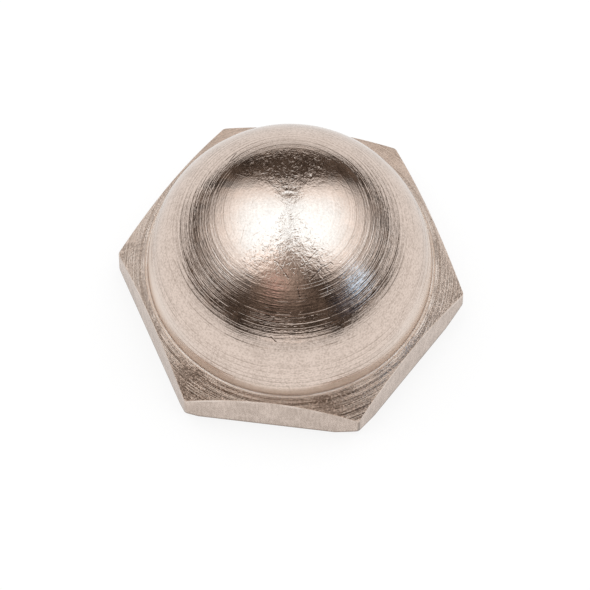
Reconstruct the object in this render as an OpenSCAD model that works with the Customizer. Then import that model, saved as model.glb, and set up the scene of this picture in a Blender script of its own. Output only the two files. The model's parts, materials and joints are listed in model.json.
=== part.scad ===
// Low cap nut: a thin hexagon with a turned hemispherical dome, tapped blind from its seat.
// Origin at the centre of the seat, +Z along the thread axis toward the dome, a corner on +X.

/* [Hexagon] */
// Width across the flats, the spanner size
across_flats = 19; // [18:0.5:24]
// Height of the hexagon, from the seat to the ledge round the dome
hex_height = 3.75; // [3:0.05:5.5]
// Slope of the chamfer on the dome side, in degrees below the ledge
top_chamfer_angle = 41; // [20:1:50]
// Diameter at which the chamfer on the seat side starts
seat_circle_d = 21; // [19.5:0.1:21.5]
// Slope of the chamfer on the seat side, in degrees above the seat
seat_chamfer_angle = 40; // [15:1:50]

/* [Dome] */
// Height of the whole nut, from the seat to the crown
overall_height = 12.5; // [12:0.1:16]
// Diameter of the sphere that forms the dome
dome_d = 17.8; // [16:0.1:18]
// Width of the flat ledge between the dome and the chamfer
ledge_w = 0.2; // [0.2:0.05:0.6]
// Radius that the turning tool leaves where the dome meets the ledge
root_r = 0.15; // [0.05:0.05:0.2]

/* [Tapped hole] */
// Nominal diameter of the metric thread
thread_d = 10; // [8:1:10]
// Pitch of the thread
thread_pitch = 1.5; // [1:0.25:1.5]
// Depth of the tap drill at its full diameter
drill_depth = 8.6; // [7:0.1:9]
// Point angle of the tap drill, in degrees
drill_point_angle = 118; // [110:1:140]
// Width by which the mouth is opened beyond the thread, on the diameter
mouth_lip = 0.8; // [0.4:0.1:1.6]
// Angle of the countersink at the mouth, in degrees
mouth_angle = 120; // [90:5:130]

/* [Hidden] */
$fn = 128;

// how far a cutting or joining form runs past the face that it meets
overrun = 0.5;

flat_r = across_flats / 2;
corner_r = flat_r / cos(30);
dome_r = dome_d / 2;
dome_z = overall_height - dome_r;

// height of the ledge above the centre of the sphere, none where the dome stands on a neck
ledge_rise = max(0, hex_height - dome_z);
dome_foot_r = sqrt(dome_r * dome_r - ledge_rise * ledge_rise);
ring_r = dome_foot_r + ledge_w;

// centre of the tool radius, which touches the ledge and the dome, or the neck below it
root_z = hex_height + root_r;
root_rise = max(0, root_z - dome_z);
root_centre_r = sqrt(pow(dome_r + root_r, 2) - root_rise * root_rise);

tap_drill_d = thread_d - thread_pitch;
mouth_d = thread_d + mouth_lip;
mouth_depth = (mouth_d - tap_drill_d) / 2 / tan(mouth_angle / 2);
point_depth = tap_drill_d / 2 / tan(drill_point_angle / 2);

// the hexagonal bar, with its corners turned down to a cone on each side
module hexagon() {
    top_slope = tan(top_chamfer_angle);
    seat_slope = tan(seat_chamfer_angle);
    intersection() {
        cylinder(h = hex_height, r = corner_r, $fn = 6);
        cylinder(h = hex_height, r1 = ring_r + hex_height / top_slope, r2 = ring_r);
        cylinder(h = hex_height, r1 = seat_circle_d / 2, r2 = seat_circle_d / 2 + hex_height / seat_slope);
    }
}

// the dome, which grows out of the hexagon, with a neck under it when the nut is taller
module dome() {
    joint_z = hex_height - overrun;
    intersection() {
        translate([0, 0, dome_z]) sphere(r = dome_r);
        translate([0, 0, max(joint_z, dome_z)]) cylinder(h = overall_height, r = dome_r + overrun);
    }
    if (dome_z > joint_z)
        translate([0, 0, joint_z]) cylinder(h = dome_z - joint_z, r = dome_r);
}

// the tool radius in the corner between the ledge and the dome
module root() {
    rotate_extrude() difference() {
        translate([dome_foot_r - root_r, hex_height - root_r])
            square([root_centre_r - dome_foot_r + root_r, 2 * root_r]);
        translate([root_centre_r, root_z]) circle(r = root_r);
    }
}

// the blind hole: countersunk mouth, tap drill and drill point
module tapped_hole() {
    mouth_slope = tan(mouth_angle / 2);
    translate([0, 0, -overrun])
        cylinder(h = overrun + mouth_depth, r1 = mouth_d / 2 + overrun * mouth_slope, r2 = tap_drill_d / 2);
    translate([0, 0, -overrun]) cylinder(h = overrun + drill_depth, d = tap_drill_d);
    translate([0, 0, drill_depth]) cylinder(h = point_depth, r1 = tap_drill_d / 2, r2 = 0);
}

module cap_nut() {
    color([0.78, 0.73, 0.68]) difference() {
        union() {
            hexagon();
            dome();
            root();
        }
        tapped_hole();
    }
}

cap_nut();
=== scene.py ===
import json
from math import atan2, cos, degrees, hypot, pi, radians, sin, sqrt, tan

import bmesh
import bpy
from mathutils import Matrix, Vector


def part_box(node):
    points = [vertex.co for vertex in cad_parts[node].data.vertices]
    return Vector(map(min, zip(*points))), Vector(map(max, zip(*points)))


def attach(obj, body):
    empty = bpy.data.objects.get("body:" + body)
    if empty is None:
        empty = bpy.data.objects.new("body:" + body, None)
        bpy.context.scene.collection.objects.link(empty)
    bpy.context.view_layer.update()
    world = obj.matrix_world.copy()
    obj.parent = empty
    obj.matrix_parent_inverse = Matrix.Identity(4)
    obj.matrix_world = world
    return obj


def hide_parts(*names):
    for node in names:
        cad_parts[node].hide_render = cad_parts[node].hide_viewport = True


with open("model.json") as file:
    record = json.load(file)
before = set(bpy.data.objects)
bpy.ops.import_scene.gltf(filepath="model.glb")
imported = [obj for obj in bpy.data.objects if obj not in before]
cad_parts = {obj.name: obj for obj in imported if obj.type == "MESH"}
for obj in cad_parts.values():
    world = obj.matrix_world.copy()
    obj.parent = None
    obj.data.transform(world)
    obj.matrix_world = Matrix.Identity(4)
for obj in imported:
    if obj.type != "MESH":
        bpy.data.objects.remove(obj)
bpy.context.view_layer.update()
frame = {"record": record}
scene = bpy.context.scene

nutLow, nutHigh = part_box("cap_nut")
mounts = {mount["name"]: mount for mount in frame["record"]["mounts"]}
mm = 0.001  # shapes are drawn in millimetres and brought to metres when they are done

view = {
    "azimuth": -82.75,  # where the camera stands round the nut, in degrees from +X
    "elevation": 66.25,
    "distance": 0.5,
    "lens": 483,
    "sensor": 36,
    "clip": (0.01, 20),
    "aim": (0.000315, -0.000403),  # from the middle of the seat, across and up the picture
}


def makeCamera():
    azimuth, elevation = radians(view["azimuth"]), radians(view["elevation"])
    back = Vector((cos(azimuth) * cos(elevation), sin(azimuth) * cos(elevation), sin(elevation)))
    turn = back.to_track_quat("Z", "Y")
    camera = bpy.data.objects.new("camera", bpy.data.cameras.new("camera"))
    camera.data.lens = view["lens"]
    camera.data.sensor_width = view["sensor"]
    camera.data.clip_start, camera.data.clip_end = view["clip"]
    camera.rotation_mode = "QUATERNION"
    camera.rotation_quaternion = turn
    camera.location = turn @ Vector((*view["aim"], 0)) + back * view["distance"]
    scene.collection.objects.link(camera)
    scene.camera = camera


makeCamera()
print("camera placed")


nut = {
    "acrossFlats": (nutHigh.y - nutLow.y) / mm,
    "height": nutHigh.z / mm,
    "hexHeight": 3.75,
    "chamferSlope": 41,  # degrees below the ledge
    "seatCircle": 21.0,
    "seatRings": (7.0, 8.4),  # extra rings of faces on the seat
    "seatSlope": 40,  # degrees above the seat
    "seatRunOut": 0.33,  # how far the seat's chamfer runs off centre
    "seatDeepToward": 330,  # and the side on which it cuts deepest
    "hexRunOut": 0.085,  # how far the hexagon lies off the turned axis
    "hexRunOutToward": 62,  # and toward which side
    "domeRadius": 8.9,
    "ledge": 0.2,
    "rootRadius": 0.15,
    "rimRadius": 0.05,
    "cornerRadius": 0.3,
    "cornerLeans": (-20, -10, 0, 10, 20),  # the narrow cuts that round a corner, in degrees
    "edgeRadius": 0.05, "edgeSteps": 2,
    "footRadius": 0.07, "footSteps": 3,  # the worn lower edge
    "steps": 240,  # round the whole turn
    "rimSteps": 3, "rootSteps": 5, "domeSteps": 60,
    "blankClear": 0.4,  # how far the turned blank stands clear of the corners
    "blankFoot": 1.0,  # its lower corner, before the seat's chamfer is turned
    "weldSpun": 0.0005, "weldMilled": 0.004, "weldSoftened": 0.002,  # points closer than these are one
    "onCut": 0.00005,  # and a point this close to a cut lies on it
}

thread = {
    "tapRadius": mounts["tapped_hole"]["dims"]["r_mm"],
    "majorRadius": 5.0,
    "pitch": 1.5,
    "flank": 30,  # degrees to each side
    "rowsPerPitch": 20,
    "length": 7.6,
    "drillDepth": 8.6,
    "pointSlope": 31,  # half of what a 118 degree drill leaves
    "mouthRadius": 5.4,
    "mouthSlope": 60,
    "mouthRows": 9,
}

close = 0.001  # for finding the points that lie on a line of the outline
halfSide = radians(30)  # half of the angle that a side of the hexagon takes up
domeZ = nut["height"] - nut["domeRadius"]
blankRadius = nut["acrossFlats"] / 2 / cos(halfSide) + nut["blankClear"]
aside = radians(nut["hexRunOutToward"])
hexMiddle = Vector((cos(aside), sin(aside), 0)) * nut["hexRunOut"]
cornerAxis = (nut["acrossFlats"] / 2 - nut["cornerRadius"]) / cos(halfSide)
finishes = ["dome", "ledge", "chamfer", "flats", "seat", "thread"]
flats = finishes.index("flats")


def arc(centreR, centreZ, radius, start, end, pieces):
    # points along an arc, angles in degrees from the outward direction
    angles = [radians(start + (end - start) * i / pieces) for i in range(pieces + 1)]
    return [(centreR + radius * cos(a), centreZ + radius * sin(a)) for a in angles]


def boreOutline():
    # from the drill point down the tap drill and out over the countersink to the seat
    tapR, mouthR, mouthRows = thread["tapRadius"], thread["mouthRadius"], thread["mouthRows"]
    mouthDepth = (mouthR - tapR) / tan(radians(thread["mouthSlope"]))
    top = thread["drillDepth"]
    rows = round((top - mouthDepth) / (thread["pitch"] / thread["rowsPerPitch"]))
    points = [(0, top + tapR * tan(radians(thread["pointSlope"])))]
    points += [(tapR, top - (top - mouthDepth) * i / rows) for i in range(rows)]
    points += [(tapR + (mouthR - tapR) * i / mouthRows, mouthDepth * (1 - i / mouthRows))
               for i in range(mouthRows + 1)]
    return points


def outerOutline():
    # from the seat circle round the outside to the crown
    hexH, domeR, rim, root = nut["hexHeight"], nut["domeRadius"], nut["rimRadius"], nut["rootRadius"]
    slope = nut["chamferSlope"]
    ringR = sqrt(domeR ** 2 - (hexH - domeZ) ** 2) + nut["ledge"]
    points = [(nut["seatCircle"] / 2, 0), (blankRadius, nut["blankFoot"])]
    points += [(blankRadius, hexH - (blankRadius - ringR) * tan(radians(slope)))]
    # the rim between chamfer and ledge
    points += arc(ringR - rim * tan(radians(slope / 2)), hexH - rim, rim, 90 - slope, 90, nut["rimSteps"])
    # the tool's radius in the corner under the dome
    rootZ = hexH + root
    rootR = sqrt((domeR + root) ** 2 - (rootZ - domeZ) ** 2)
    touch = degrees(atan2(rootZ - domeZ, rootR))
    points += arc(rootR, rootZ, root, 270, 180 + touch, nut["rootSteps"])
    points += arc(0, domeZ, domeR, touch, 90, nut["domeSteps"])[1:-1]
    points += [(0, domeZ + domeR)]
    return points


def threadRadius(angle, z):
    # the basic profile: flats at root and crest, and flanks between them
    pitch = thread["pitch"]
    depth = thread["majorRadius"] - thread["tapRadius"]
    along = ((z / pitch - angle / (2 * pi)) % 1 - 0.5) * pitch
    rise = (abs(along) - pitch / 16) / tan(radians(thread["flank"]))
    fade = min(1, max(0, (thread["length"] - z) / pitch))
    return thread["tapRadius"] + max(0, depth * fade - max(0, rise))


def finishOf(face):
    middle = face.calc_center_median()
    if hypot(middle.x, middle.y) < thread["mouthRadius"] and face.normal.z < 0.5:
        return "thread"
    if face.normal.z < -0.5:
        return "seat"
    if middle.z > nut["hexHeight"] + nut["rootRadius"]:
        return "dome"
    return "ledge" if middle.z > nut["hexHeight"] - nut["rimRadius"] else "chamfer"


def everything(bm):
    return bm.verts[:] + bm.edges[:] + bm.faces[:]


def weld(bm, distance):
    bmesh.ops.remove_doubles(bm, verts=bm.verts, dist=distance)
    bmesh.ops.recalc_face_normals(bm, faces=bm.faces)


def turnBlank(bm):
    # spin the whole outline once round, bore and all
    outline = boreOutline() + [(r, 0) for r in nut["seatRings"]] + outerOutline()
    verts = [bm.verts.new((r, 0, z)) for r, z in outline]
    edges = [bm.edges.new(pair) for pair in zip(verts, verts[1:])]
    bmesh.ops.spin(bm, geom=verts + edges, cent=(0, 0, 0), axis=(0, 0, 1), angle=2 * pi,
                   steps=nut["steps"], use_merge=True)
    weld(bm, nut["weldSpun"])
    for face in bm.faces:
        face.material_index = finishes.index(finishOf(face))


def cutThread(bm):
    # push the wall of the bore out to the thread's profile
    inner, outer = thread["tapRadius"] - close, thread["mouthRadius"] - close
    for v in bm.verts:
        r = hypot(v.co.x, v.co.y)
        if v.co.z < thread["drillDepth"] - close and inner < r < outer:
            v.co.xy *= max(1, threadRadius(atan2(v.co.y, v.co.x), v.co.z) / r)


def turnSeat(bm):
    # the seat's chamfer, a little off centre
    seatR, toward = nut["seatCircle"] / 2, radians(nut["seatDeepToward"])
    for v in bm.verts:
        r = hypot(v.co.x, v.co.y)
        start = seatR - nut["seatRunOut"] * cos(atan2(v.co.y, v.co.x) - toward)
        if abs(v.co.z) < close and abs(r - seatR) < close:
            v.co.xy *= start / r
        elif abs(v.co.z - nut["blankFoot"]) < close and abs(r - blankRadius) < close:
            v.co.z = (blankRadius - start) * tan(radians(nut["seatSlope"]))


def millFlats(bm):
    # the six flats, then a few narrow cuts at each corner between them
    cuts = [(30 + 60 * k, nut["acrossFlats"] / 2) for k in range(6)]
    cuts += [(60 * k + lean, cornerAxis * cos(radians(lean)) + nut["cornerRadius"])
             for k in range(6) for lean in nut["cornerLeans"]]
    for angle, reach in cuts:
        normal = Vector((cos(radians(angle)), sin(radians(angle)), 0))
        cut = bmesh.ops.bisect_plane(bm, geom=everything(bm), dist=nut["onCut"],
                                     plane_co=hexMiddle + normal * reach, plane_no=normal,
                                     clear_outer=True)
        rim = [e for e in cut["geom_cut"] if isinstance(e, bmesh.types.BMEdge) and e.is_boundary]
        for face in bmesh.ops.edgeloop_fill(bm, edges=rim)["faces"]:
            face.material_index = flats
    weld(bm, nut["weldMilled"])


def softenRims(bm):
    # round the upper and lower rims of the flats
    rims = [e for e in bm.edges if sum(f.material_index == flats for f in e.link_faces) == 1]
    feet = [e for e in rims if e.verts[0].co.z < nut["hexHeight"] / 3]
    uppers = [e for e in rims if e not in feet]
    for edges, name in ((uppers, "edge"), (feet, "foot")):
        bmesh.ops.bevel(bm, geom=edges, offset=nut[name + "Radius"], segments=nut[name + "Steps"],
                        profile=0.5, affect="EDGES", material=-1, clamp_overlap=False)
    for v in bm.verts:
        v.co.z = max(v.co.z, 0)  # the ends of a bevel mustn't dip below the seat
    weld(bm, nut["weldSoftened"])
    print("nut:", len(rims), "rim edges,",
          sum(not e.is_manifold for e in bm.edges), "open edges,", len(bm.faces), "faces")


def linkMesh(name, bm):
    mesh = bpy.data.meshes.new(name)
    bm.to_mesh(mesh)
    bm.free()
    thing = bpy.data.objects.new(name, mesh)
    scene.collection.objects.link(thing)
    return thing


def makeNut():
    bm = bmesh.new()
    for step in (turnBlank, cutThread, turnSeat, millFlats, softenRims):
        step(bm)
    bmesh.ops.scale(bm, vec=(mm, mm, mm), verts=bm.verts)
    for face in bm.faces:
        face.smooth = True
    piece = linkMesh("capNut", bm)
    weighted = piece.modifiers.new("weighted normals", "WEIGHTED_NORMAL")
    weighted.keep_sharp = True
    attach(piece, "root")
    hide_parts("cap_nut")
    return piece


nutPiece = makeNut()


# small blocks that the finishes are wired up from

def feed(tree, socket, value):
    # an output is linked to the socket, and a number or vector is set on it
    if isinstance(value, bpy.types.NodeSocket):
        tree.links.new(value, socket)
    else:
        socket.default_value = value


def calc(tree, operation, *values, clamp=False):
    node = tree.nodes.new("ShaderNodeMath")
    node.operation = operation
    node.use_clamp = clamp
    for socket, value in zip(node.inputs, values):
        feed(tree, socket, value)
    return node.outputs[0]


def minus(tree, first, second):
    return calc(tree, "SUBTRACT", first, second)


def plus(tree, total, *others):
    for value in others:
        total = calc(tree, "ADD", total, value)
    return total


def times(tree, total, *others):
    for value in others:
        total = calc(tree, "MULTIPLY", total, value)
    return total


def layUp(tree, total, *parts):
    # adds some of each part; parts come as (socket, how much of it)
    for part, share in parts:
        total = calc(tree, "MULTIPLY_ADD", part, share, total)
    return total


def fromAxis(tree, x, y):
    return calc(tree, "SQRT", plus(tree, times(tree, x, x), times(tree, y, y)))


def ramp(tree, value, fromMin, fromMax, toMin=0.0, toMax=1.0, smooth=True):
    node = tree.nodes.new("ShaderNodeMapRange")
    node.interpolation_type = "SMOOTHSTEP" if smooth else "LINEAR"
    for name, given in (("Value", value), ("From Min", fromMin), ("From Max", fromMax),
                        ("To Min", toMin), ("To Max", toMax)):
        feed(tree, node.inputs[name], given)
    return node.outputs[0]


def vectorCalc(tree, operation, first, second=None, output="Vector"):
    node = tree.nodes.new("ShaderNodeVectorMath")
    node.operation = operation
    feed(tree, node.inputs[0], first)
    if second is not None:
        feed(tree, node.inputs["Scale" if operation == "SCALE" else 1], second)
    return node.outputs[output]


def splitVector(tree, vector):
    node = tree.nodes.new("ShaderNodeSeparateXYZ")
    tree.links.new(vector, node.inputs[0])
    return node.outputs


def joinVector(tree, *values):
    node = tree.nodes.new("ShaderNodeCombineXYZ")
    for socket, value in zip(node.inputs, values):
        feed(tree, socket, value)
    return node.outputs[0]


def noise(tree, vector, scale, detail=0.0, seed=None, flat=False):
    node = tree.nodes.new("ShaderNodeTexNoise")
    node.noise_dimensions = "2D" if flat else "3D" if seed is None else "4D"
    feed(tree, node.inputs["Vector"], vector)
    feed(tree, node.inputs["Scale"], scale)
    feed(tree, node.inputs["Detail"], detail)
    if seed is not None:
        feed(tree, node.inputs["W"], seed)
    return node.outputs["Fac"]


def patches(tree, vector, scale, seed, *levels):
    # a mask that comes and goes over the surface
    return ramp(tree, noise(tree, vector, scale, seed=seed), *levels)


def mixColour(tree, mask, under, over):
    node = tree.nodes.new("ShaderNodeMix")
    node.data_type = "RGBA"
    for name, value in (("Factor", mask), ("A", under), ("B", over)):
        feed(tree, node.inputs[name], value)
    return node.outputs["Result"]


def newGroup(name, inputs, outputs):
    # an input without a number is a vector
    group = bpy.data.node_groups.new(name, "ShaderNodeTree")
    for label, default in inputs.items():
        kind = "NodeSocketVector" if default is None else "NodeSocketFloat"
        socket = group.interface.new_socket(label, in_out="INPUT", socket_type=kind)
        if default is not None:
            socket.default_value = default
    for label in outputs:
        group.interface.new_socket(label, in_out="OUTPUT", socket_type="NodeSocketFloat")
    entry = group.nodes.new("NodeGroupInput")
    leave = group.nodes.new("NodeGroupOutput")
    return group, entry.outputs, leave.inputs


def useGroup(tree, group, vector, **values):
    node = tree.nodes.new("ShaderNodeGroup")
    node.node_tree = group
    feed(tree, node.inputs["Vector"], vector)
    for name, value in values.items():
        feed(tree, node.inputs[name], value)
    return node.outputs


turning = {
    "sets": ((0.45, 0.2), (1.0, 0.35), (2.2, 0.6), (4.5, 0.7)),  # how fine each set is, and its share
    "wander": (0.25, 0.8), "strength": (0.3, 0.7, 0.35, 1.3),  # how they grow weak and strong
    "grooveWidths": (0.05, 0.1), "groovePlaces": (0.35, 0.65),
    "finestTone": 0.6,
    "streaksAround": 16, "streaksAcross": 8,
}


def makeTurningLines():
    # true rings round the axis, each as strong as the cut left it
    group, take, give = newGroup(
        "turningLines",
        {"Vector": None, "Spacing": 0.28, "Seed": 0.0},
        ["Height", "Groove", "Streak", "Tone"])
    x, y, z = splitVector(group, take["Vector"])
    r = fromAxis(group, x, y)
    density = calc(group, "DIVIDE", 1.0, take["Spacing"])
    profile = joinVector(group, layUp(group, take["Seed"], (r, density)), times(group, z, density), 0.0)
    wander = [noise(group, take["Vector"], size, seed=take["Seed"]) for size in turning["wander"]]
    height = 0.0
    rings = []
    for finer, share in turning["sets"]:
        rings.append(noise(group, profile, finer, flat=True))
        strength = ramp(group, wander[len(rings) % 2], *turning["strength"])
        part = times(group, minus(group, rings[-1], 0.5), strength)
        height = layUp(group, height, (part, share / finer))
    feed(group, give["Height"], height)
    # a thin groove wherever the rings' noise passes through its middle
    grooves = 0.0
    for ring, width, place in zip(rings[1:3], turning["grooveWidths"], reversed(wander)):
        groove = ramp(group, calc(group, "ABSOLUTE", minus(group, ring, 0.5)), 0, width, 1, 0)
        grooves = layUp(group, grooves, (groove, ramp(group, place, *turning["groovePlaces"])))
    feed(group, give["Groove"], grooves)
    finest = turning["finestTone"]
    feed(group, give["Tone"], minus(group, layUp(group, rings[2], (rings[3], finest)), (1 + finest) / 2))
    # short fine streaks along the rings
    around = calc(group, "DIVIDE", turning["streaksAround"], r)
    streaks = joinVector(group, times(group, x, around), times(group, y, around),
                         times(group, minus(group, r, z), turning["streaksAcross"]))
    feed(group, give["Streak"], minus(group, noise(group, streaks, 1.0, detail=1.0), 0.5))
    return group


def makeTumbleMarks():
    # short straight nicks, one in each cell, each at its own angle
    group, take, give = newGroup(
        "tumbleMarks",
        {"Vector": None, "Cell": 0.5, "Length": 0.2, "Width": 0.03, "Seed": 0.0},
        ["Mark"])
    x, y, z = splitVector(group, take["Vector"])
    place = joinVector(group, plus(group, x, take["Seed"]), y, 0.0)
    cells = group.nodes.new("ShaderNodeTexVoronoi")
    cells.voronoi_dimensions = "2D"
    feed(group, cells.inputs["Vector"], place)
    feed(group, cells.inputs["Scale"], calc(group, "DIVIDE", 1.0, take["Cell"]))
    dx, dy, _ = splitVector(group, vectorCalc(group, "SUBTRACT", place, cells.outputs["Position"]))
    chance = group.nodes.new("ShaderNodeSeparateColor")
    feed(group, chance.inputs[0], cells.outputs["Color"])
    angle = times(group, chance.outputs[0], 2 * pi)
    c, s = calc(group, "COSINE", angle), calc(group, "SINE", angle)
    along = plus(group, times(group, dx, c), times(group, dy, s))
    across = minus(group, times(group, dy, c), times(group, dx, s))
    shortest = 0.3  # of the given length
    reach = times(group, take["Length"], ramp(group, chance.outputs[1], 0, 1, shortest, 1, smooth=False))
    ends = calc(group, "DIVIDE", along, reach)
    sides = calc(group, "DIVIDE", across, take["Width"])
    inside, groove = (calc(group, "SUBTRACT", 1.0, times(group, part, part), clamp=True)
                      for part in (ends, sides))
    depth = calc(group, "POWER", chance.outputs[2], 2.0)  # most are shallow
    feed(group, give["Mark"], times(group, inside, groove, depth))
    return group


def makeScratch():
    # one straight scratch between two points
    group, take, give = newGroup(
        "scratch",
        {"Vector": None, "From": None, "To": None, "Width": 0.05},
        ["Mark"])
    path = vectorCalc(group, "SUBTRACT", take["To"], take["From"])
    away = vectorCalc(group, "SUBTRACT", take["Vector"], take["From"])
    along = calc(group, "DIVIDE", vectorCalc(group, "DOT_PRODUCT", away, path, "Value"),
                 vectorCalc(group, "DOT_PRODUCT", path, path, "Value"), clamp=True)
    nearest = vectorCalc(group, "SCALE", path, along)
    off = vectorCalc(group, "LENGTH", vectorCalc(group, "SUBTRACT", away, nearest), output="Value")
    feed(group, give["Mark"], ramp(group, off, 0, take["Width"], 1, 0, smooth=False))
    return group


tumbling = {
    "patchScale": 0.12, "patchShare": 0.25,  # broad patches among the fine mottle
    "speckScale": 0.16, "speckSize": (0.03, 0.06),
}


def makeGrain():
    # the soft mottle of tumbled metal, and its few dark specks
    group, take, give = newGroup(
        "grain",
        {"Vector": None, "Size": 0.25, "Seed": 0.0},
        ["Height", "Tone", "Speck"])
    place = vectorCalc(group, "ADD", take["Vector"], joinVector(group, take["Seed"], 0.0, 0.0))
    density = calc(group, "DIVIDE", 1.0, take["Size"])
    fine = minus(group, noise(group, place, density, detail=2.0), 0.5)
    broad = noise(group, place, times(group, density, tumbling["patchScale"]), detail=1.0)
    feed(group, give["Height"], fine)
    feed(group, give["Tone"], layUp(group, fine, (minus(group, broad, 0.5), tumbling["patchShare"])))
    cells = group.nodes.new("ShaderNodeTexVoronoi")
    feed(group, cells.inputs["Vector"], place)
    feed(group, cells.inputs["Scale"], times(group, density, tumbling["speckScale"]))
    feed(group, give["Speck"], ramp(group, cells.outputs["Distance"], *tumbling["speckSize"], 1, 0))
    return group


turningLines, tumbleMarks = makeTurningLines(), makeTumbleMarks()
scratch, grain = makeScratch(), makeGrain()
print("finishing effects built")


metal = {
    "colour": (0.765, 0.637, 0.558),
    "shade": (0.48, 0.385, 0.325),  # in the specks and the deepest tone
    "brown": (0.82, 0.64, 0.525),  # chamfer and ledge are a little browner
    "deepBrown": (0.51, 0.385, 0.305),
    "paintedLight": (0.93, 0.82, 0.74),  # painted light: the two sides painted brighter, and painted highlights along rims and round the ledge
    "tan": (0.78, 0.625, 0.50),  # round the foot of the dome: partly its own tan, partly painted light that lifts where it mirrors the darker chamfer
    "shadeAndTickDark": (0.24, 0.185, 0.15),  # painted shade along the lower edge of the flats, and the dark tick up one corner
    "edge": (0.88, 0.87, 0.86),  # of what is seen at a glancing angle
    "speckShare": 0.8,
    "roughLimits": (0.05, 0.7),
    "frostLevels": (0.0, 0.25),  # between these heights of its pattern the frosting sets in
}

paintedLightSides = {
    "toward": 7,  # degrees round: the nut is painted brighter (painted light) on this side and on the opposite one
    "fades": (0.3, 0.9),  # the painted light fades out between these sines of the angle away from there
}

# in each finish heights and depths are in millimetres
domeFinish = {
    "roughness": 0.08, "anisotropy": 0.2, "shade": 0.25, "seed": 3.7,
    "lineSpacing": 0.28, "lineHeight": 0.018, "grooveDepth": 0.005,
    "streakHeight": 0.010, "streakFrost": 1.0,
    # the tool's feed left these lines, in degrees down from the crown
    "rings": (20.5, 24.5, 27.4, 31.4, 34.2, 37.4, 40.5, 42.8, 44.9, 47.6, 49.9, 52.6, 55.0,
              60.2, 70.0, 73.0, 76.5, 79.0, 82.0),
    "ringHeight": 0.007, "ringWidth": 0.42,
    "ringPatches": (0.35, 8.0, 0.35, 0.6, 0.25, 1.0), "ringStart": (20, 40, 0.2, 1),
    # two short grooves beside the crown, on the side of the corner at 120 degrees
    "poleArcs": (6.1, 8.7), "poleArcWidth": 1.2, "poleArcDepth": 0.016,
    "poleArcMiddle": 99, "poleArcSpan": (10.8, 36),
    "crownAngle": (24, 36),  # the nicks of the crown give way to turning lines between these
    "footAngle": (48, 56),  # and the turning lines grow fainter between these
    "crownShare": 0.15, "footShare": 0.3, "backShare": 0.4,  # what is left of them there and at the back
    # the foot is rough and tan, its tan partly painted light, and above it the two sides are painted
    # brighter (painted light)
    "wornAngle": (81, 87), "tanAngle": (80, 88), "tanShare": 0.6, "tanPatches": (-0.25, 0.2, 1.3, 0.5),
    "paintedSideLight": (73, 80), "wornRoughness": 5.0,
    # cell, length, width and seed of each set of nicks
    "nicks": ((0.20, 0.16, 0.035, 20), (0.26, 0.24, 0.035, 26), (0.34, 0.3, 0.035, 34)),
    "flecks": (0.9, 0.14, 0.06, 7),
    "largeNicks": (1.3, 0.6, 0.03, 41), "longNicks": (3.4, 1.3, 0.035, 63),
    "largeShare": 0.6, "markDepth": 0.008, "fleckDepth": 0.03, "nickRoughness": 0.8,
    "mottle": (0.14, 5), "dents": (0.45, 17),  # size and seed
    "peenHeight": 0.014, "dentHeight": 0.03, "grainHeight": 0.004, "frost": 2.5,
    "calmSides": (0.55, 0.92), "calmShare": 0.15,  # how much of all that is left on the two sides that are painted brighter
    "toneFromLines": 0.5, "toneFromGrain": 2.4, "toneFromMarks": 0.9, "toneStart": (25, 50, 0.4, 1),
    # single scratches, each from one place to another: degrees round and degrees down from the crown
    "scratches": (((283, 33), (284, 37)), ((297, 23), (309, 21)), ((293, 31), (305, 28)),
                  ((264, 23), (276, 29)), ((290.6, 20.5), (293, 23)), ((281, 17), (282, 18)),
                  ((302, 30), (303, 31.5)), ((268, 54), (270.5, 56)), ((141.5, 37.3), (133.5, 39.4))),
    "scratchDepth": 0.012, "scratchWidth": 0.06,
}

turnedShared = {"nickSize": (0.3, 0.2, 0.04), "mottleSize": 0.13}  # of ledge, chamfer and seat

ledgeFinish = {
    **turnedShared, "seed": 4.4,
    "roughness": 0.5, "anisotropy": 0.0, "shade": 0.55, "light": "brown", "dark": "deepBrown",
    "lineSpacing": 0.16, "lineHeight": 0.02, "grooveDepth": 0.004,
    "markDepth": 0.012, "grainHeight": 0.014,
    "toneFromLines": 0.8, "toneFromGrain": 1.6, "frost": 0.5,
    # radius, width and strength of its two painted highlight lines, and how they come and go
    "paintedHighlightRings": ((8.98, 0.07, 0.9), (9.12, 0.05, 0.3)),
    "ringPatches": (0.5, 0.35, 0.55), "ringLeast": 0.3,
}

chamferFinish = {
    **turnedShared, "seed": 9.1,
    "roughness": 0.28, "anisotropy": 0.1, "shade": 0.55, "light": "brown", "dark": "deepBrown",
    "lineSpacing": 0.24, "lineHeight": 0.015, "grooveDepth": 0.011,
    "markDepth": 0.010, "grainHeight": 0.026,
    "toneFromLines": 0.8, "toneFromGrain": 2.6, "frost": 1.5,
    # painted light: how much brighter its two sides are painted, and how patchy that is
    "paintedSideLight": 0.4, "paintedSideLightGrain": 0.4, "paintedSideLightPatches": (-0.15, 0.15, 0.5, 1.4),
}

seatFinish = {
    **turnedShared, "seed": 21.0,
    "roughness": 0.3, "anisotropy": 0.4, "shade": 0.2,
    "lineSpacing": 0.3, "lineHeight": 0.02, "grooveDepth": 0.0,
    "markDepth": 0.004, "grainHeight": 0.004,
    "toneFromLines": 0.5, "toneFromGrain": 0.7, "frost": 0.5,
}

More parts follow.
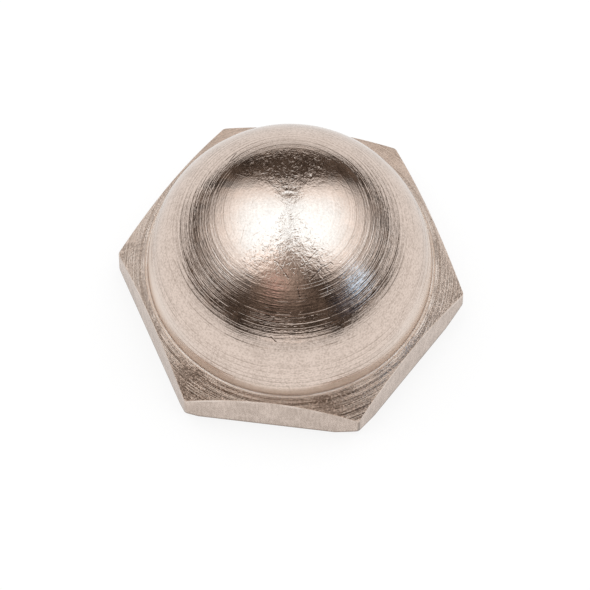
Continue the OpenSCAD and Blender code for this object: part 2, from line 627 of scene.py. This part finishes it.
flatFinish = {
    "roughness": 0.27, "anisotropy": 0.0, "shade": 0.56,
    "nicks": ((0.4, 0.22, 0.03, 3), (1.7, 0.8, 0.03, 23)), "markDepth": 0.008,
    "mottle": (0.09, 11), "grainHeight": 0.014, "toneFromGrain": 2.2, "roughFromGrain": 0.4,
    # lines that the drawn bar had along it
    "drawnScale": (7, 7, 0.9), "drawnHeight": 0.012, "toneFromDrawn": 1.1,
    "patchScale": 0.7, "toneFromPatches": 1.0,
    "paintedLowShade": 0.15, "lowReach": 2.6,  # painted shade: darker toward the floor
    # a painted highlight along the rim above, and painted shade along the one below
    "rimWidth": 0.14, "rimPatches": (0.8, 2.0, 0.35, 0.65, 0.0, 0.5),
    "footWidth": (0.03, 0.34), "paintedFootShade": 0.9,
    # a dark tick up one corner: degrees round, from here to there, and its width
    "cornerMark": (300.3, 0.7, 1.85, 0.14),
}

threadFinish = {
    "roughness": 0.25, "anisotropy": 0.0, "shade": 0.3,
    "mottle": (0.3, 14), "grainHeight": 0.003, "toneFromGrain": 0.6, "roughFromGrain": 0.5,
}


def opaque(colour):
    return (*colour, 1)


def newMaterial(name):
    material = bpy.data.materials.new(name)
    material.use_nodes = True
    return material, material.node_tree


def objectPlace(tree):
    return tree.nodes.new("ShaderNodeTexCoord").outputs["Object"]


def startMetal(name, finish):
    material, tree = newMaterial(name)
    shader = tree.nodes["Principled BSDF"]
    shader.inputs["Metallic"].default_value = 1
    shader.inputs["Specular Tint"].default_value = opaque(metal["edge"])
    shader.inputs["Anisotropic"].default_value = finish["anisotropy"]
    inMm = tree.nodes.new("ShaderNodeMapping")
    inMm.inputs["Scale"].default_value = (1 / mm, 1 / mm, 1 / mm)
    feed(tree, inMm.inputs["Vector"], objectPlace(tree))
    return material, tree, shader, inMm.outputs[0]


def combAcross(tree, shader, vector):
    # lays the shine's direction across the turning lines
    geometry = tree.nodes.new("ShaderNodeNewGeometry")
    along = vectorCalc(tree, "CROSS_PRODUCT", (0, 0, 1), vector)
    across = vectorCalc(tree, "CROSS_PRODUCT", along, geometry.outputs["Normal"])
    feed(tree, shader.inputs["Tangent"], across)


def addNicks(tree, vector, cell, length, width, seed):
    return useGroup(tree, tumbleMarks, vector, Cell=cell, Length=length, Width=width, Seed=seed)["Mark"]


def addGrain(tree, vector, size, seed):
    return useGroup(tree, grain, vector, Size=size, Seed=seed)


def lineTone(tree, finish, lines, mottle):
    return layUp(tree, 0.0, (lines["Tone"], finish["toneFromLines"]),
                 (mottle["Tone"], finish["toneFromGrain"]))


def frosting(tree, height, strength):
    # the upper parts of a pattern are scratched rough
    return ramp(tree, height, *metal["frostLevels"], 0, strength)


def awayFromPaintedLightSides(tree, x, y):
    # the sine of the angle round from the side that is painted brighter
    return calc(tree, "SINE", minus(tree, calc(tree, "ARCTAN2", y, x), radians(paintedLightSides["toward"])))


def finishMetal(tree, shader, finish, height, tone, specks, rough, *layers):
    # tone and rough lie round zero; each layer is a mask and a colour that goes over the rest
    bump = tree.nodes.new("ShaderNodeBump")
    bump.inputs["Distance"].default_value = mm
    feed(tree, bump.inputs["Height"], height)
    feed(tree, shader.inputs["Normal"], bump.outputs["Normal"])
    dark = times(tree, specks, metal["speckShare"])
    share = calc(tree, "SUBTRACT", plus(tree, 1 - finish["shade"], tone), dark, clamp=True)
    colour = mixColour(tree, share, opaque(metal[finish.get("dark", "shade")]),
                       opaque(metal[finish.get("light", "colour")]))
    for mask, name in layers:
        colour = mixColour(tree, mask, colour, opaque(metal[name]))
    feed(tree, shader.inputs["Base Color"], colour)
    level = layUp(tree, finish["roughness"], (rough, finish["roughness"]))
    limits = metal["roughLimits"]
    feed(tree, shader.inputs["Roughness"], ramp(tree, level, *limits, *limits, smooth=False))


def ringRamp(tree, angle, rings, width):
    # one on each of the rings and zero between them; a colour ramp has room for ten
    share = calc(tree, "DIVIDE", angle, 90)
    total = 0.0
    for first in range(0, len(rings), 10):
        node = tree.nodes.new("ShaderNodeValToRGB")
        stops = node.color_ramp.elements
        stops[0].color = stops[1].color = (0, 0, 0, 1)
        for ring in rings[first:first + 10]:
            for offset, level in ((-1, 0), (0, 1), (1, 0)):
                stops.new((ring + offset * width) / 90).color = (level, level, level, 1)
        feed(tree, node.inputs["Fac"], share)
        total = plus(tree, node.outputs["Color"], total)
    return total


def onDome(bearing, drop):
    # a place on the dome, from degrees round and degrees down from the crown
    bearing, drop = radians(bearing), radians(drop)
    outward = Vector((cos(bearing) * sin(drop), sin(bearing) * sin(drop), cos(drop)))
    return Vector((0, 0, domeZ)) + outward * nut["domeRadius"]


def makeDomeMetal():
    finish = domeFinish
    material, tree, shader, place = startMetal("turnedDome", finish)
    combAcross(tree, shader, place)
    lines = useGroup(tree, turningLines, place, Spacing=finish["lineSpacing"], Seed=finish["seed"])
    small = plus(tree, *(addNicks(tree, place, *nicks) for nicks in finish["nicks"]))
    flecks, large, far = (addNicks(tree, place, *finish[name])
                          for name in ("flecks", "largeNicks", "longNicks"))
    mottle, dents = addGrain(tree, place, *finish["mottle"]), addGrain(tree, place, *finish["dents"])

    # where on the dome: degrees down from the crown, and how far round from the sides that are painted
    # brighter
    x, y, z = splitVector(tree, place)
    down = times(tree, calc(tree, "ARCTAN2", fromAxis(tree, x, y), minus(tree, z, domeZ)), 180 / pi)
    away = awayFromPaintedLightSides(tree, x, y)
    sideways = calc(tree, "ABSOLUTE", away)
    crown, left = finish["crownAngle"], finish["crownShare"]
    nicked = times(tree, ramp(tree, down, *crown, 1, left),
                   ramp(tree, sideways, *finish["calmSides"], finish["calmShare"], 1))
    turned = times(tree, ramp(tree, down, *crown, left, 1),
                   ramp(tree, down, *finish["footAngle"], 1, finish["footShare"]),
                   ramp(tree, away, *paintedLightSides["fades"], 1, finish["backShare"]))

    # the rings that stand out, strong in some places and weak in others
    deep = times(tree, ringRamp(tree, down, finish["rings"], finish["ringWidth"]),
                 times(tree, patches(tree, place, *finish["ringPatches"]),
                       ramp(tree, down, *finish["ringStart"])))
    around = times(tree, calc(tree, "ARCTAN2", y, x), 180 / pi)
    off = calc(tree, "ABSOLUTE", minus(tree, around, finish["poleArcMiddle"]))
    arcs = times(tree, ringRamp(tree, down, finish["poleArcs"], finish["poleArcWidth"]),
                 ramp(tree, off, *finish["poleArcSpan"], 1, 0))
    cuts = plus(tree, *(useGroup(tree, scratch, place, Width=finish["scratchWidth"],
                                 From=onDome(*start), To=onDome(*end))["Mark"]
                        for start, end in finish["scratches"]))
    nicks = layUp(tree, times(tree, small, nicked), (plus(tree, large, far), finish["largeShare"]))
    fleck = times(tree, calc(tree, "POWER", flecks, 2.0), nicked)
    peen = ramp(tree, nicked, 0, 1, finish["grainHeight"], finish["peenHeight"])
    lineHeight = layUp(tree, 0.0, (lines["Height"], finish["lineHeight"]),
                       (lines["Groove"], -finish["grooveDepth"]),
                       (lines["Streak"], finish["streakHeight"]))
    height = layUp(tree, 0.0, (deep, finish["ringHeight"]), (arcs, -finish["poleArcDepth"]),
                   (lineHeight, turned), (nicks, -finish["markDepth"]), (fleck, -finish["fleckDepth"]),
                   (mottle["Height"], peen), (times(tree, dents["Height"], nicked), finish["dentHeight"]),
                   (cuts, -finish["scratchDepth"]))

    # the tone is darker along the rings, the nicks and the scratches
    tone = times(tree, lineTone(tree, finish, lines, mottle), ramp(tree, down, *finish["toneStart"]))
    tone = layUp(tree, tone, (plus(tree, deep, nicks, cuts), -finish["toneFromMarks"]))
    # fine scratches frost the crown and streak the turned part, and the foot is rough
    frost = times(tree, frosting(tree, mottle["Height"], finish["frost"]), nicked)
    streaks = times(tree, frosting(tree, lines["Streak"], finish["streakFrost"]), turned)
    # painted light: the two sides are painted brighter above the foot
    paintedLight = times(tree, ramp(tree, down, *finish["paintedSideLight"]),
                 ramp(tree, sideways, *paintedLightSides["fades"], 1, 0))
    # painted light: the foot is painted a paler tan, partly its own colour
    foot = calc(tree, "MULTIPLY", ramp(tree, down, *finish["tanAngle"], 0, finish["tanShare"]),
                ramp(tree, mottle["Tone"], *finish["tanPatches"]), clamp=True)
    rubbed = calc(tree, "MAXIMUM", paintedLight, ramp(tree, down, *finish["wornAngle"]))
    rough = layUp(tree, plus(tree, frost, streaks), (rubbed, finish["wornRoughness"]),
                  (nicks, finish["nickRoughness"]))
    finishMetal(tree, shader, finish, height, tone, mottle["Speck"], rough,
                (paintedLight, "paintedLight"), (foot, "tan"))
    return material


def makeTurnedMetal(name, finish):
    material, tree, shader, place = startMetal(name, finish)
    combAcross(tree, shader, place)
    seed = finish["seed"]
    lines = useGroup(tree, turningLines, place, Spacing=finish["lineSpacing"], Seed=seed)
    small = addNicks(tree, place, *finish["nickSize"], seed)
    mottle = addGrain(tree, place, finish["mottleSize"], seed)
    height = layUp(tree, 0.0, (lines["Height"], finish["lineHeight"]),
                   (lines["Groove"], -finish["grooveDepth"]),
                   (small, -finish["markDepth"]), (mottle["Height"], finish["grainHeight"]))
    tone = lineTone(tree, finish, lines, mottle)
    layers = []
    x, y, z = splitVector(tree, place)
    # painted highlight: two bright lines round the ledge
    if "paintedHighlightRings" in finish:
        r = fromAxis(tree, x, y)
        scale, *levels = finish["ringPatches"]
        paintedLight = 0.0
        for radius, width, strength in finish["paintedHighlightRings"]:
            off = calc(tree, "ABSOLUTE", minus(tree, r, radius))
            patchy = patches(tree, place, scale, radius, *levels, finish["ringLeast"] * strength, strength)
            paintedLight = layUp(tree, paintedLight, (ramp(tree, off, 0, width, 1, 0), patchy))
        layers.append((paintedLight, "paintedLight"))
    if "paintedSideLight" in finish:
        # painted light: brighter on the same two sides as the dome
        sideways = calc(tree, "ABSOLUTE", awayFromPaintedLightSides(tree, x, y))
        sides = ramp(tree, sideways, *paintedLightSides["fades"], finish["paintedSideLight"], 0)
        pattern = layUp(tree, lines["Tone"], (mottle["Tone"], finish["paintedSideLightGrain"]))
        patchy = ramp(tree, pattern, *finish["paintedSideLightPatches"])
        layers.append((calc(tree, "MULTIPLY", sides, patchy, clamp=True), "paintedLight"))
    rough = frosting(tree, mottle["Height"], finish["frost"])
    finishMetal(tree, shader, finish, height, tone, mottle["Speck"], rough, *layers)
    return material


def makeFlatMetal():
    finish = flatFinish
    material, tree, shader, place = startMetal("milledFlat", finish)
    x, y, z = splitVector(tree, place)
    around = calc(tree, "ARCTAN2", y, x)
    r = fromAxis(tree, x, y)
    # once round the hexagon and up
    unrolled = joinVector(tree, times(tree, around, nut["acrossFlats"] / 2), z, 0.0)
    marks = plus(tree, *(addNicks(tree, unrolled, *nicks) for nicks in finish["nicks"]))
    mottle = addGrain(tree, place, *finish["mottle"])
    upright = vectorCalc(tree, "MULTIPLY", place, finish["drawnScale"])
    drawn = minus(tree, noise(tree, upright, 1.0, detail=1.0), 0.5)
    broad = minus(tree, noise(tree, place, finish["patchScale"], detail=2.0), 0.5)
    height = layUp(tree, 0.0, (marks, -finish["markDepth"]), (mottle["Height"], finish["grainHeight"]),
                   (drawn, finish["drawnHeight"]))
    tone = layUp(tree, 0.0, (mottle["Tone"], finish["toneFromGrain"]), (drawn, finish["toneFromDrawn"]),
                 (broad, finish["toneFromPatches"]))
    # painted shade: the flats grow darker toward the floor
    tone = minus(tree, tone, ramp(tree, z, 0, finish["lowReach"], finish["paintedLowShade"], 0))

    # painted highlight: bright along the edge of the chamfer
    slope = tan(radians(nut["chamferSlope"]))
    under = minus(tree, nut["hexHeight"] + nut["domeRadius"] * slope, layUp(tree, z, (r, slope)))
    paintedLight = times(tree, ramp(tree, under, 0, finish["rimWidth"], 1, 0),
                 patches(tree, place, *finish["rimPatches"]))
    # painted shade along the edge where the seat's chamfer cuts the flats off, and dark in the tick
    deepest = calc(tree, "COSINE", minus(tree, around, radians(nut["seatDeepToward"])))
    past = layUp(tree, minus(tree, r, nut["seatCircle"] / 2), (deepest, nut["seatRunOut"]))
    start = times(tree, calc(tree, "MAXIMUM", past, 0), tan(radians(nut["seatSlope"])))
    footShadeAndTick = ramp(tree, minus(tree, z, start), *finish["footWidth"], finish["paintedFootShade"], 0)
    turn, low, high, width = finish["cornerMark"]
    out = Vector((cos(radians(turn)), sin(radians(turn)), 0))
    corner = hexMiddle + out * (cornerAxis + nut["cornerRadius"])
    tick = useGroup(tree, scratch, place, Width=width,
                    From=corner + Vector((0, 0, low)), To=corner + Vector((0, 0, high)))["Mark"]
    footShadeAndTick = calc(tree, "ADD", footShadeAndTick, tick, clamp=True)
    rough = times(tree, mottle["Tone"], finish["roughFromGrain"])
    finishMetal(tree, shader, finish, height, tone, mottle["Speck"], rough,
                (paintedLight, "paintedLight"), (footShadeAndTick, "shadeAndTickDark"))
    return material


def makeThreadMetal():
    finish = threadFinish
    material, tree, shader, place = startMetal("cutThread", finish)
    mottle = addGrain(tree, place, *finish["mottle"])
    height = times(tree, mottle["Height"], finish["grainHeight"])
    tone = times(tree, mottle["Tone"], finish["toneFromGrain"])
    rough = times(tree, mottle["Tone"], finish["roughFromGrain"])
    finishMetal(tree, shader, finish, height, tone, mottle["Speck"], rough)
    return material


# in the order of the list of finishes
for material in (makeDomeMetal(), makeTurnedMetal("wornLedge", ledgeFinish),
                 makeTurnedMetal("turnedChamfer", chamferFinish), makeFlatMetal(),
                 makeTurnedMetal("facedSeat", seatFinish), makeThreadMetal()):
    nutPiece.data.materials.append(material)
print("metal finished")


studio = {
    "floorSize": 3.0,
    "floorDrop": 0.00001,  # so that the seat doesn't lie in the floor
    "floorColour": (0.95, 0.95, 0.95),
    "skyForDiffuse": 0.40,
    "floorGlow": (0.82, 0.85),  # how much of the floor's white is its own, seen directly and in the metal
    "floorReach": 0.5,  # how far from the nut the metal sees the floor at half its white
    "wallColour": (0.075, 0.058, 0.047),
    "wallRadius": 1.45,
    "clutterScale": 7.0,
    "clutterLevels": (0.38, 0.68, 0.3, 2.6),
}

softbox = {
    "strength": 2.0,
    # in the metal its middle has another white than its rim
    "rimColour": (1, 1, 1), "coreColour": (0.78, 0.93, 1.03), "coreShare": (0.45, 0.95),
    "distance": 0.7,  # the unit of the lengths below, in metres
    # a point in its plane, with the camera at -Y; the other one is its mirror image
    "toward": (0.479, 0.798, 0.366),
    "lean": 46.0, "tip": 13.7, "roll": -16.9, "turn": 0.7,
    "near": -1.3, "far": 0.50, "back": 0.1, "front": -1.1,
    "fadeOut": 0.55, "fadeBack": 1.0, "fadeFront": 0.22, "fadeCorner": 0.4,
    "corner": 1.42,  # cuts off the outer front corner
    "gap": 0.008,
    "gridSize": 8,
}

# things about the room that show in the metal, with the camera at -Y: the direction of each, half its width
# and height, its colour, how much of it fades out, then its distance and whether it hides what is behind it
cards = (
    ("frontWall", (-0.20, -0.44, 0.87), (0.75, 0.42), (0.36, 0.31, 0.28), 0.7),
    ("warmWall", (-0.20, -0.60, 0.77), (0.26, 0.22), (0.22, 0.10, 0.10), 0.8),
    ("lowWall", (-0.14, -0.70, 0.70), (0.80, 0.42), (0.19, 0.15, 0.13), 0.9),
    ("frontBoard", (0, -0.995, 0.055), (0.9, 0.16), (0.92, 0.92, 0.92), 0.6),
    ("leftBoard", (-0.86, -0.50, 0.02), (0.55, 0.075), (0.50, 0.49, 0.48), 0.7),
    ("rightBoard", (0.86, -0.50, 0.02), (0.55, 0.075), (0.50, 0.49, 0.48), 0.7),
    ("coolWall", (0.73, -0.58, 0.35), (0.42, 0.30), (0.006, 0.032, 0.075), 0.8),
    ("secondPane", (0.89, -0.27, 0.37), (0.17, 0.14), (0.34, 0.50, 0.66), 0.8),
    ("backBoard", (0, 0.999, 0.02), (0.6, 0.09), (0.70, 0.68, 0.66), 0.6),
    ("window", (0.82, -0.39, 0.41), (0.28, 0.15), (0.60, 0.95, 1.35), 0.6),
    # between the two softboxes, and the stand toward the back
    ("lampJoint", (0, -0.15, 0.99), (0.042, 0.055), (0.40, 0.36, 0.33), 0.9, 0.36, True),
    ("lampStand", (-0.015, 0.56, 0.83), (0.10, 0.075), (0.35, 0.33, 0.31), 0.85, 0.55, True),
)


def linkStage(name, bm, material, onlyReflected):
    thing = linkMesh(name, bm)
    thing.data.materials.append(material)
    if onlyReflected:
        for kind in ("camera", "diffuse", "transmission", "volume_scatter", "shadow"):
            setattr(thing, "visible_" + kind, False)
    return thing


def joinShaders(tree, kind, *parts):
    node = tree.nodes.new(kind)
    for socket, part in zip(node.inputs, parts):
        feed(tree, socket, part)
    return node.outputs[0]


def glowMaterial(name, colour, makeStrength, hides=False):
    material, tree = newMaterial(name)
    tree.nodes.clear()
    glow = tree.nodes.new("ShaderNodeEmission")
    glow.inputs["Color"].default_value = opaque(colour)
    strength = makeStrength(tree, splitVector(tree, objectPlace(tree)))
    feed(tree, glow.inputs["Strength"], strength)
    clear = tree.nodes.new("ShaderNodeBsdfTransparent")
    if hides:
        # it covers what is behind it, softly at the rim
        both = joinShaders(tree, "ShaderNodeMixShader", strength, clear.outputs[0], glow.outputs[0])
    else:
        # it adds to what is behind it, so a faded rim doesn't show
        both = joinShaders(tree, "ShaderNodeAddShader", glow.outputs[0], clear.outputs[0])
    out = tree.nodes.new("ShaderNodeOutputMaterial")
    feed(tree, out.inputs["Surface"], both)
    return material


def mirroredRays(tree, path):
    return calc(tree, "MAXIMUM", path["Is Glossy Ray"], path["Is Transmission Ray"])


def makeFloor():
    bm = bmesh.new()
    bmesh.ops.create_grid(bm, x_segments=1, y_segments=1, size=studio["floorSize"] / 2)
    bmesh.ops.translate(bm, vec=(0, 0, -studio["floorDrop"]), verts=bm.verts)
    material, tree = newMaterial("floor")
    shader = tree.nodes["Principled BSDF"]
    shader.inputs["Base Color"].default_value = opaque(studio["floorColour"])
    shader.inputs["Roughness"].default_value = 1
    shader.inputs["Specular IOR Level"].default_value = 0
    # some of its white is its own, which lightens the shadow
    glow = tree.nodes.new("ShaderNodeEmission")
    path = tree.nodes.new("ShaderNodeLightPath").outputs
    seen, mirrored = studio["floorGlow"]
    share = layUp(tree, times(tree, mirroredRays(tree, path), mirrored), (path["Is Camera Ray"], seen))
    both = joinShaders(tree, "ShaderNodeMixShader", share, shader.outputs[0], glow.outputs[0])
    feed(tree, tree.nodes["Material Output"].inputs["Surface"], both)
    # in the metal the floor dims with its distance from the nut
    x, y, z = splitVector(tree, objectPlace(tree))
    reach = studio["floorReach"]
    dimmed = calc(tree, "DIVIDE", reach, plus(tree, fromAxis(tree, x, y), reach))
    feed(tree, glow.inputs["Strength"], calc(tree, "MAXIMUM", dimmed, path["Is Camera Ray"]))
    linkStage("floor", bm, material, False)


def makeWorld():
    # white where it is seen, directly or in the metal, and dimmer as a light
    world = bpy.data.worlds.new("world")
    world.use_nodes = True
    tree = world.node_tree
    background = tree.nodes["Background"]
    background.inputs["Color"].default_value = (1, 1, 1, 1)
    path = tree.nodes.new("ShaderNodeLightPath").outputs
    shown = calc(tree, "MAXIMUM", path["Is Camera Ray"], mirroredRays(tree, path))
    strength = ramp(tree, shown, 0, 1, studio["skyForDiffuse"], 1, smooth=False)
    feed(tree, background.inputs["Strength"], strength)
    scene.world = world


def makeRoom():
    # dark walls and ceiling, which only the metal sees
    bm = bmesh.new()
    bmesh.ops.create_uvsphere(bm, u_segments=48, v_segments=24, radius=studio["wallRadius"])
    bmesh.ops.bisect_plane(bm, geom=everything(bm),
                           plane_co=(0, 0, 0), plane_no=(0, 0, -1), clear_outer=True)
    material, tree = newMaterial("room")
    shader = tree.nodes["Principled BSDF"]
    shader.inputs["Base Color"].default_value = (0, 0, 0, 1)
    shader.inputs["Specular IOR Level"].default_value = 0
    shader.inputs["Emission Color"].default_value = opaque(studio["wallColour"])
    # things stand about in it
    clutter = noise(tree, objectPlace(tree), studio["clutterScale"], detail=2.0)
    feed(tree, shader.inputs["Emission Strength"], ramp(tree, clutter, *studio["clutterLevels"]))
    linkStage("room", bm, material, True)


def softboxGlow(tree, place):
    # bright inside and fading toward its rims
    far, rear, front, corner = (softbox[name] for name in ("far", "back", "front", "corner"))
    toCorner = minus(tree, place[0], place[1])
    share = times(tree, ramp(tree, place[0], far - softbox["fadeOut"], far, 1, 0),
                  ramp(tree, place[1], rear - softbox["fadeBack"], rear, 1, 0),
                  ramp(tree, place[1], front, front + softbox["fadeFront"], 0, 1),
                  ramp(tree, toCorner, corner - softbox["fadeCorner"], corner, 1, 0))
    path = tree.nodes.new("ShaderNodeLightPath").outputs
    core = times(tree, ramp(tree, share, *softbox["coreShare"]), path["Is Glossy Ray"])
    tint = mixColour(tree, core, opaque(softbox["rimColour"]), opaque(softbox["coreColour"]))
    feed(tree, tree.nodes["Emission"].inputs["Color"], tint)
    return times(tree, share, softbox["strength"])


def makeSoftboxes():
    # two wide softboxes that lean together over the nut
    lean, tip, roll = radians(softbox["lean"]), radians(softbox["tip"]), radians(softbox["roll"])
    down = Vector((cos(lean), 0, -sin(lean)))
    back = Vector((0, 1, 0))
    back = back * cos(tip) + down.cross(back) * sin(tip)
    down, back = down * cos(roll) + back * sin(roll), back * cos(roll) - down * sin(roll)
    plane = Matrix((down, back, down.cross(back))).transposed().to_4x4()
    plane = Matrix.Translation(Vector(softbox["toward"])) @ plane
    turn = Matrix.Rotation(radians(view["azimuth"] + 90 + softbox["turn"]), 4, "Z")
    near, far, rear, front = (softbox[name] for name in ("near", "far", "back", "front"))
    intoPlane = plane.inverted()
    material = glowMaterial("softbox", (1, 1, 1), softboxGlow)
    for side in (-1, 1):
        bm = bmesh.new()
        bmesh.ops.create_grid(bm, x_segments=softbox["gridSize"], y_segments=softbox["gridSize"], size=1)
        bmesh.ops.scale(bm, vec=((far - near) / 2, (rear - front) / 2, 1), verts=bm.verts)
        bmesh.ops.translate(bm, vec=((far + near) / 2, (rear + front) / 2, 0), verts=bm.verts)
        # trim it to the gap between the two
        bmesh.ops.bisect_plane(bm, geom=everything(bm),
                               plane_co=intoPlane @ Vector((softbox["gap"], 0, 0)),
                               plane_no=intoPlane.to_3x3() @ Vector((-1, 0, 0)), clear_outer=True)
        box = linkStage("softbox", bm, material, False)
        box.visible_camera = False
        mirror = Matrix.Scale(side, 4, (1, 0, 0))
        box.matrix_world = turn @ mirror @ Matrix.Scale(softbox["distance"], 4) @ plane


def makeCard(name, toward, size, colour, softRim, distance=1.2, hides=False):
    # it shows only in the metal and is turned to face the nut
    bm = bmesh.new()
    bmesh.ops.create_grid(bm, x_segments=1, y_segments=1, size=1)

    def fading(tree, place):
        return ramp(tree, fromAxis(tree, place[0], place[1]), 1 - softRim, 1, 1, 0)

    card = linkStage(name, bm, glowMaterial(name, colour, fading, hides), True)
    facing = Vector(toward).normalized()
    turn = Matrix.Rotation(radians(view["azimuth"] + 90), 4, "Z")
    card.matrix_world = (turn @ Matrix.Translation(facing * distance)
                         @ facing.to_track_quat("Z", "Y").to_matrix().to_4x4()
                         @ Matrix.Diagonal((*size, 1, 1)))


makeFloor()
makeWorld()
makeRoom()
makeSoftboxes()
for card in cards:
    makeCard(*card)
scene.view_settings.view_transform = "Standard"
print("studio set")
